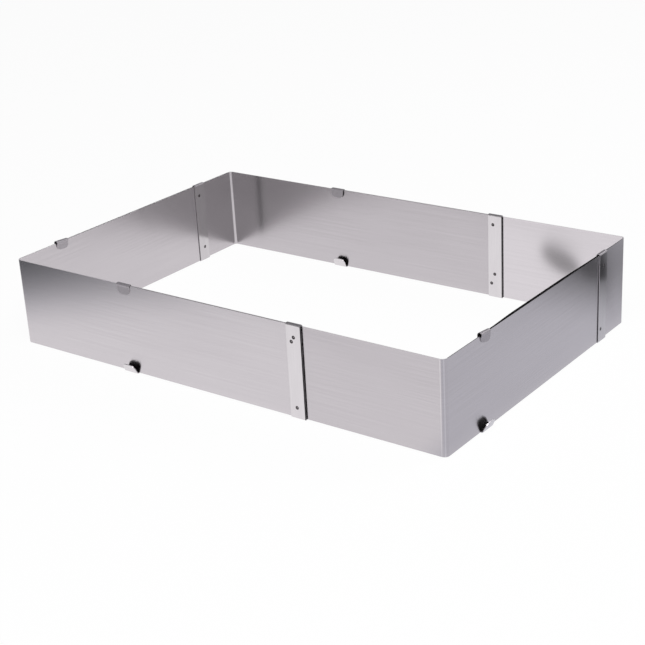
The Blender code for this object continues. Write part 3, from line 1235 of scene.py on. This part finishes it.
@dataclass(frozen=True)
class Studio:
    """A pale floor, soft lamps, the world and the camera.

    The paper's glow is the share of its white that the camera sees whatever shadow lies on it,
    and the backdrop is the white that the steel sees, by the height of its way.
    """

    floor_size: float = 30.0
    seen_floor: SeenFloor = SeenFloor()
    paper_glow: float = 0.95
    room_colour: tuple[float, float, float, float] = (0.17, 0.165, 0.18, 1.0)
    backdrop: SoftStep = SoftStep(0.1, 0.2, 1.0, 0.0)
    lamps: tuple[Lamp, ...] = (Lamp("key_lamp", (0.6, -0.9, 1.6), 1.2, 24.0),
                               Lamp("fill_lamp", (0.9, 1.2, 1.3), 1.0, 10.0))
    camera_place: tuple[float, float, float] = (0.73648, -0.96047, 0.51113)
    camera_azimuth: float = 37.450
    camera_elevation: float = 22.508
    camera_roll: float = -3.249
    sensor: float = 36.0
    lens: float = 80.798

    def build(self) -> None:
        """Sets up everything that isn't part of the frame."""
        self.build_floor()
        self.build_world()
        for lamp in self.lamps:
            lamp.hang()
        self.build_camera()
        bpy.context.scene.view_settings.view_transform = "Standard"

    def build_floor(self) -> None:
        """Lays the floor, white to the camera."""
        bm = bmesh.new()
        bmesh.ops.create_grid(bm, x_segments=1, y_segments=1, size=self.floor_size / 2)
        floor = link_object("floor", make_mesh("floor", bm))
        floor.data.materials.append(self.floor_material())

    def floor_material(self) -> Material:
        """Builds the paper's material.

        Returns:
            A material that is white to the camera but for the frame's soft shadow, and that
            the steel sees as paper lit around the frame.
        """
        material, tree = empty_material("white_paper")
        rays = add_node(tree, "ShaderNodeLightPath")
        paper = add_node(tree, "ShaderNodeBsdfDiffuse", inputs={"Color": WHITE})
        shown = add_node(tree, "ShaderNodeEmission", inputs={"Color": WHITE, "Strength": 1.0})
        camera_paper = add_node(tree, "ShaderNodeMixShader", inputs={
            "Fac": self.paper_glow, 1: paper.outputs["BSDF"], 2: shown.outputs["Emission"]})
        place = add_node(tree, "ShaderNodeTexCoord")
        seen = add_node(tree, "ShaderNodeEmission", inputs=self.seen_floor.add(
            tree, place.outputs["Object"], rays.outputs["Glossy Depth"]))
        surface = add_node(tree, "ShaderNodeMixShader", inputs={
            "Fac": rays.outputs["Is Camera Ray"], 1: seen.outputs["Emission"],
            2: camera_paper.outputs["Shader"]})
        add_node(tree, "ShaderNodeOutputMaterial", inputs={"Surface": surface.outputs["Shader"]})
        return material

    def build_world(self) -> None:
        """Sets the world: white to the camera, and to the steel white below a dim ceiling."""
        world = bpy.data.worlds.new("studio_room")
        bpy.context.scene.world = world
        world.use_nodes = True
        tree = world.node_tree
        tree.nodes.clear()
        rays = add_node(tree, "ShaderNodeLightPath")
        room = add_node(tree, "ShaderNodeBackground", inputs={
            "Color": self.room_colour, "Strength": 1.0})
        way = add_node(tree, "ShaderNodeTexCoord")
        height = add_node(tree, "ShaderNodeSeparateXYZ", inputs={
            "Vector": way.outputs["Generated"]})
        steel_sees = add_node(tree, "ShaderNodeMath", {"operation": "MULTIPLY"}, {
            0: rays.outputs["Is Glossy Ray"], 1: self.backdrop.add(tree, height.outputs["Z"])})
        sees_white = add_node(tree, "ShaderNodeMath", {"operation": "MAXIMUM"}, {
            0: rays.outputs["Is Camera Ray"], 1: steel_sees.outputs["Value"]})
        shown = add_node(tree, "ShaderNodeBackground", inputs={"Color": WHITE, "Strength": 1.0})
        mix = add_node(tree, "ShaderNodeMixShader", inputs={
            "Fac": sees_white.outputs["Value"], 1: room.outputs["Background"],
            2: shown.outputs["Background"]})
        add_node(tree, "ShaderNodeOutputWorld", inputs={"Surface": mix.outputs["Shader"]})

    def build_camera(self) -> None:
        """Sets up the camera at the photograph's viewpoint."""
        azimuth, elevation, roll = map(math.radians, (
            self.camera_azimuth, self.camera_elevation, self.camera_roll))
        back = Vector((math.sin(azimuth) * math.cos(elevation),
                       -math.cos(azimuth) * math.cos(elevation), math.sin(elevation)))
        right = Vector((math.cos(azimuth), math.sin(azimuth), 0.0))
        level = Matrix((right, back.cross(right), back)).transposed().to_4x4()
        data = bpy.data.cameras.new("photo_camera")
        data.sensor_width = self.sensor
        data.lens = self.lens
        camera = link_object("photo_camera", data)
        camera.matrix_world = (Matrix.Translation(Vector(self.camera_place)) @ level
                               @ Matrix.Rotation(roll, 4, "Z"))
        bpy.context.scene.camera = camera


def frame_finishes() -> Finishes:
    """Builds the frame's materials.

    Returns:
        The materials.
    """
    # Cold-rolled stainless sheet with a belt-ground grain: a soft neutral grey that mirrors its
    # surroundings softly and draws them out across the grain. The real grain is about 0.1 mm, too
    # fine to show, so it is drawn at 1 mm. The rubbed steel is the same sheet in two lines along
    # the bend, where the press brake rubbed it bright; its paler colour there is a painted
    # highlight.
    rubbed_bend = GrainedSteel(
        "stainless_sheet_rubbed_bright", "#D6D2D5", "#D0CCCF", roughness=0.15,
        roughness_spread=0.01, anisotropy=0.75, grain_pitch=1.0 * MM, grain_length=140 * MM,
        grain_depth=0.0012 * MM, cloud_size=45 * MM, cloud_share=0.35)
    sheets = {}
    for tone in SheetTone:
        colour, streak_colour, roughness = tone.value
        sheets[tone] = replace(
            rubbed_bend, name=f"stainless_sheet_belt_ground_{tone.name.lower()}", colour=colour,
            streak_colour=streak_colour, roughness=roughness, roughness_spread=0.015).material()
    # Stainless strip with a bright rolled skin: smoother and lighter than the sheets. Its rolling
    # lines are too fine to show as well, and drawn at 1 mm.
    clip = GrainedSteel(
        "stainless_strip_bright_rolled", "#DBD8DA", "#D4D1D3", roughness=0.14,
        roughness_spread=0.012, anisotropy=0.2, grain_pitch=1.0 * MM, grain_length=40 * MM,
        grain_depth=0.0015 * MM, cloud_size=12 * MM, cloud_share=0.4)
    # The same strip, painted darker as shade for the bands on the short walls.
    painted_shade_clip = replace(clip, name="stainless_strip_dull_rolled", colour="#CBC8CA",
                        streak_colour="#C4C1C3")
    # The sheared edge of a sheet: torn and burnished metal, duller and darker than the faces.
    edge = WornSteel("stainless_sheared_edge", "#8E8A8D", "#6F6B6E", roughness=0.42,
                     patch_size=1.5 * MM, relief_depth=0.02 * MM)
    # An edge that lies deep between two sheets: painted shade, a near-black colour for the dark
    # where hardly any light gets in.
    slot_edge = replace(edge, name="stainless_slot_edge", colour="#242223",
                        dark_colour="#181718", roughness=0.6)
    # An edge that was rubbed bright: its pale colour is a painted highlight along the rims of
    # tongues, hooks and the band's open edge.
    bright_edge_painted_highlight = replace(edge, name="stainless_rubbed_edge", colour="#E4E0E3",
                          dark_colour="#D2CED1", roughness=0.3, relief_depth=0.01 * MM)
    # A top edge that was deburred, and matt: the palest colour of all, a painted highlight on the
    # long arms' top edges.
    top_edge = replace(bright_edge_painted_highlight, name="stainless_edge_deburred_matt", colour="#F2EEF1",
                       dark_colour="#E2DEE1", roughness=0.7)
    # The outside of the folds over the sheets: the bright skin goes matt where it is stretched.
    fold = WornSteel("stainless_strip_stretched", "#CECBCD", "#C2BFC1", roughness=0.4,
                     patch_size=1.2 * MM, relief_depth=0.01 * MM)
    # The strip's skin at the tongues, bruised and dulled by the pliers.
    tongue = replace(fold, name="stainless_strip_bruised", colour="#BEBABE",
                     dark_colour="#B2AEB2", roughness=0.6, relief_depth=0.02 * MM)
    # The side of the strip that lies against the sheets: dull, and painted dark as the shade
    # between strip and sheets.
    clip_inside_painted_shade = replace(fold, name="stainless_strip_inside_dull", colour="#4A4748",
                          dark_colour="#2C2A2B", roughness=0.5, patch_size=3 * MM)
    # The same side in the folds over the sheets: a lighter painted shade, as more light comes in
    # there.
    fold_inside_painted_shade = replace(clip_inside_painted_shade, name="stainless_fold_inside_dull", colour="#6A6668",
                          dark_colour="#4C494B")
    # The skin of a resistance spot weld: a dark ring of scale round a paler dish.
    weld = WeldScale("stainless_spot_weld_scale", "#8D898B", "#2E2B2C", ring_radius=1.1 * MM,
                     ring_width=0.6 * MM, waviness=0.25 * MM, roughness=0.45)
    return Finishes(sheets, *(finish.material() for finish in (
        clip, painted_shade_clip, clip_inside_painted_shade, fold, fold_inside_painted_shade, tongue, rubbed_bend, edge, top_edge,
        bright_edge_painted_highlight, slot_edge, weld)))


def main() -> None:
    """Builds the corner pieces and the studio."""
    logging.basicConfig(level=logging.INFO, format="%(name)s: %(message)s")
    Studio().build()
    finishes = frame_finishes()
    pieces = [
        CornerPiece("front_left", Side.FRONT, Side.LEFT, Layer.OUTER, tone=SheetTone.LIGHT),
        CornerPiece("front_right", Side.FRONT, Side.RIGHT, Layer.INNER, slot_start=66 * MM,
                    slot_end=250 * MM, bend_marks=(
                        # The rubbed stretches of the near corner's bend are painted highlights.
                        (SheetPart.RUBBED_BEND, 9.0), (SheetPart.OUTER_FACE, 27.0),
                        (SheetPart.RUBBED_BEND, 13.5), (SheetPart.OUTER_FACE, 40.5))),
        CornerPiece("back_right", Side.BACK, Side.RIGHT, Layer.OUTER, short_clip_opening=1.0,
                    inner_tone=SheetTone.BRIGHT, slot_start=53 * MM, slot_end=237 * MM,
                    slot_bow=1.2 * MM),
        CornerPiece("back_left", Side.BACK, Side.LEFT, Layer.INNER, short_clip_opening=0.6,
                    tone=SheetTone.DULL, inner_tone=SheetTone.DULL, bend_radius=3.5 * MM),
    ]
    for piece in pieces:
        piece.build(finishes)


if __name__ == "__main__":
    main()
